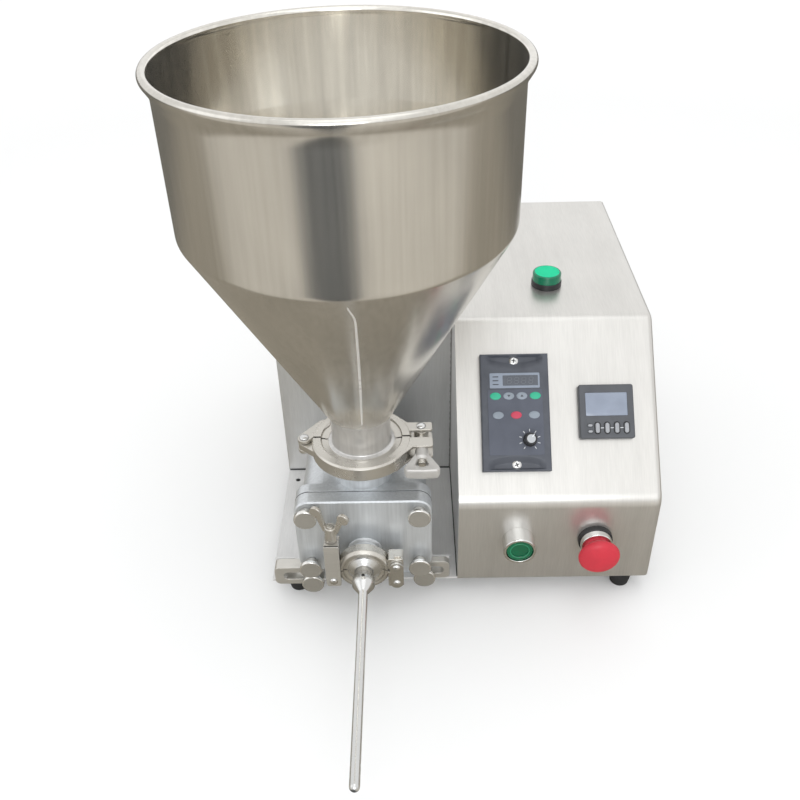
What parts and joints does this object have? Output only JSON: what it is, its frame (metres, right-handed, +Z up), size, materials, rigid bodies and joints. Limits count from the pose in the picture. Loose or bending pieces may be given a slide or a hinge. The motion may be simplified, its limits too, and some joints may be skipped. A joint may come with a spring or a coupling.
{
  "type": "cream filling machine",
  "caption": "Bench-top cream filling machine: a conical steel hopper clamped over a rotor pump with a long filling needle, beside a case with a sloping control panel.",
  "frame": {"origin": "middle of the overall footprint, at table level", "axes": "+X to the right seen from the front, +Y to the rear, +Z up; the needle points along -Y"},
  "size_m": [0.3926, 0.606, 0.4903],
  "materials": {
    "stainless": "brushed",
    "polished_steel": "polished",
    "satin_steel": "satin",
    "cast_steel": "cast and tumbled",
    "fasteners": "bright",
    "foot_rubber": "matte",
    "seal_rubber": "matte",
    "black_plastic": "satin",
    "green_lens": "gloss",
    "green_cap": "gloss",
    "red_plastic": "gloss",
    "controller_plastic": "fine texture",
    "timer_plastic": "fine texture",
    "grey_keys": "satin",
    "display_window": "gloss",
    "drive_steel": "turned",
    "drive_paint": "satin",
    "gearbox_alloy": "cast",
    "bush_bronze": "turned"
  },
  "bodies": {
    "machine": {"housing_shell": "stainless", "base_plate": "stainless", "rear_panel": "stainless", "hopper": "polished_steel", "pump_body": "polished_steel", "pump_cover": "polished_steel", "nozzle_adapter": "polished_steel", "nozzle_tube": "polished_steel", "start_button_body": "polished_steel", "estop_bezel": "polished_steel", "cover_studs": "satin_steel", "hopper_clamp_rear": "cast_steel", "hopper_clamp_front": "cast_steel", "outlet_clamp_upper": "cast_steel", "outlet_clamp_lower": "cast_steel", "clamp_hinges": "cast_steel", "panel_screws": "fasteners", "rubber_feet": "foot_rubber", "seals": "seal_rubber", "power_inlet": "black_plastic", "lamp_body": "black_plastic", "estop_collar": "black_plastic", "panel_lock_nuts": "black_plastic", "lamp_lens": "green_lens", "controller_case": "controller_plastic", "controller_keypad": "controller_plastic", "timer_case": "timer_plastic", "controller_display": "display_window", "timer_screen": "display_window", "motor_bracket": "drive_steel", "gear_motor": "drive_paint", "gearbox": "gearbox_alloy", "shaft_bushes": "bush_bronze"},
    "start_button": {"start_button_cap": "green_cap"},
    "stop_stem": {"estop_stem": "drive_steel"},
    "stop_head": {"estop_head": "red_plastic"},
    "speed_dial": {"speed_knob": "black_plastic"},
    "timer_rocker_1": {"timer_rocker_1": "grey_keys"},
    "timer_rocker_2": {"timer_rocker_2": "grey_keys"},
    "timer_rocker_3": {"timer_rocker_3": "grey_keys"},
    "timer_rocker_4": {"timer_rocker_4": "grey_keys"},
    "timer_reset": {"timer_reset_key": "grey_keys"},
    "timer_lock": {"timer_lock_key": "grey_keys"},
    "drive_train": {"gearbox_shaft": "drive_steel", "drive_coupling": "drive_steel", "drive_shaft": "drive_steel", "drive_rotor": "drive_steel"},
    "idler": {"idler_rotor": "drive_steel"},
    "cover_knob_1": {"cover_knob_1": "satin_steel"},
    "cover_knob_2": {"cover_knob_2": "satin_steel"},
    "cover_knob_3": {"cover_knob_3": "satin_steel"},
    "cover_knob_4": {"cover_knob_4": "satin_steel"},
    "hold_down_left": {"hold_down_left": "stainless"},
    "hold_down_right": {"hold_down_right": "stainless"},
    "hold_screw_left": {"hold_down_screw_left": "satin_steel"},
    "hold_screw_right": {"hold_down_screw_right": "satin_steel"},
    "swing_bolt": {"hopper_swing_bolt": "cast_steel"},
    "hopper_nut": {"hopper_wing_nut": "cast_steel"},
    "outlet_latch": {"outlet_swing_latch": "cast_steel"},
    "outlet_nut": {"outlet_wing_nut": "cast_steel"}
  },
  "joints": [
    {"name": "start_press", "type": "slide", "parent": "machine", "child": "start_button", "axis": [0, 1, 0], "range_m": [0, 0.003], "stiffness_N_per_m": 600},
    {"name": "stop_press", "type": "slide", "parent": "machine", "child": "stop_stem", "axis": [0, 1, 0], "range_m": [0, 0.004]},
    {"name": "stop_twist", "type": "hinge", "parent": "stop_stem", "child": "stop_head", "pos_m": [0.14135, -0.063, 0.07], "axis": [0, 1, 0], "range_deg": [0, 45], "stiffness_Nm_per_rad": 0.03},
    {"name": "speed_turn", "type": "hinge", "parent": "machine", "child": "speed_dial", "pos_m": [0.08105, -0.03083, 0.1589], "axis": [0, -0.7071, 0.7071], "range_deg": [-115, 185]},
    {"name": "rock_1", "type": "hinge", "parent": "machine", "child": "timer_rocker_1", "pos_m": [0.14085, -0.0217, 0.1635], "axis": [1, 0, 0], "range_deg": [-4, 4], "stiffness_Nm_per_rad": 0.02},
    {"name": "rock_2", "type": "hinge", "parent": "machine", "child": "timer_rocker_2", "pos_m": [0.14935, -0.0217, 0.1635], "axis": [1, 0, 0], "range_deg": [-4, 4], "stiffness_Nm_per_rad": 0.02},
    {"name": "rock_3", "type": "hinge", "parent": "machine", "child": "timer_rocker_3", "pos_m": [0.15785, -0.0217, 0.1635], "axis": [1, 0, 0], "range_deg": [-4, 4], "stiffness_Nm_per_rad": 0.02},
    {"name": "rock_4", "type": "hinge", "parent": "machine", "child": "timer_rocker_4", "pos_m": [0.16635, -0.0217, 0.1635], "axis": [1, 0, 0], "range_deg": [-4, 4], "stiffness_Nm_per_rad": 0.02},
    {"name": "reset_press", "type": "slide", "parent": "machine", "child": "timer_reset", "axis": [0, 0.7071, -0.7071], "range_m": [0, 0.0006], "stiffness_N_per_m": 200},
    {"name": "lock_press", "type": "slide", "parent": "machine", "child": "timer_lock", "axis": [0, 0.7071, -0.7071], "range_m": [0, 0.0006], "stiffness_N_per_m": 200},
    {"name": "drive_spin", "type": "hinge", "parent": "machine", "child": "drive_train", "pos_m": [-0.08565, -0.063, 0.086], "axis": [0, -1, 0], "continuous": true},
    {"name": "idler_spin", "type": "hinge", "parent": "machine", "child": "idler", "pos_m": [-0.04565, -0.063, 0.086], "axis": [0, -1, 0], "continuous": true},
    {"name": "cover_knob_1_turn", "type": "hinge", "parent": "machine", "child": "cover_knob_1", "pos_m": [-0.11465, -0.073, 0.1165], "axis": [0, -1, 0], "continuous": true},
    {"name": "cover_knob_2_turn", "type": "hinge", "parent": "machine", "child": "cover_knob_2", "pos_m": [-0.01665, -0.073, 0.1165], "axis": [0, -1, 0], "continuous": true},
    {"name": "cover_knob_3_turn", "type": "hinge", "parent": "machine", "child": "cover_knob_3", "pos_m": [-0.11465, -0.073, 0.0555], "axis": [0, -1, 0], "continuous": true},
    {"name": "cover_knob_4_turn", "type": "hinge", "parent": "machine", "child": "cover_knob_4", "pos_m": [-0.01665, -0.073, 0.0555], "axis": [0, -1, 0], "continuous": true},
    {"name": "hold_down_left_slide", "type": "slide", "parent": "machine", "child": "hold_down_left", "axis": [-1, 0, 0], "range_m": [0, 0.014]},
    {"name": "hold_down_right_slide", "type": "slide", "parent": "machine", "child": "hold_down_right", "axis": [1, 0, 0], "range_m": [0, 0.0065]},
    {"name": "hold_screw_left_turn", "type": "hinge", "parent": "machine", "child": "hold_screw_left", "pos_m": [-0.11465, -0.063, 0.0325], "axis": [0, -1, 0], "continuous": true},
    {"name": "hold_screw_right_turn", "type": "hinge", "parent": "machine", "child": "hold_screw_right", "pos_m": [-0.01265, -0.063, 0.0325], "axis": [0, -1, 0], "continuous": true},
    {"name": "swing_bolt_open", "type": "hinge", "parent": "machine", "child": "swing_bolt", "pos_m": [-0.01365, -0.018, 0.1595], "axis": [0, 0, 1], "range_deg": [0, 50]},
    {"name": "hopper_nut_turn", "type": "hinge", "parent": "swing_bolt", "child": "hopper_nut", "pos_m": [-0.01365, -0.044, 0.1595], "axis": [0, -1, 0], "continuous": true},
    {"name": "outlet_latch_open", "type": "hinge", "parent": "machine", "child": "outlet_latch", "pos_m": [-0.09265, -0.0915, 0.059], "axis": [0, -1, 0], "range_deg": [0, 60]},
    {"name": "outlet_nut_turn", "type": "hinge", "parent": "machine", "child": "outlet_nut", "pos_m": [-0.09265, -0.0915, 0.1008], "axis": [0, 0, 1], "continuous": true}
  ],
  "couplings": [
    {"joint": "idler_spin", "follows": "drive_spin", "ratio": -1}
  ]
}
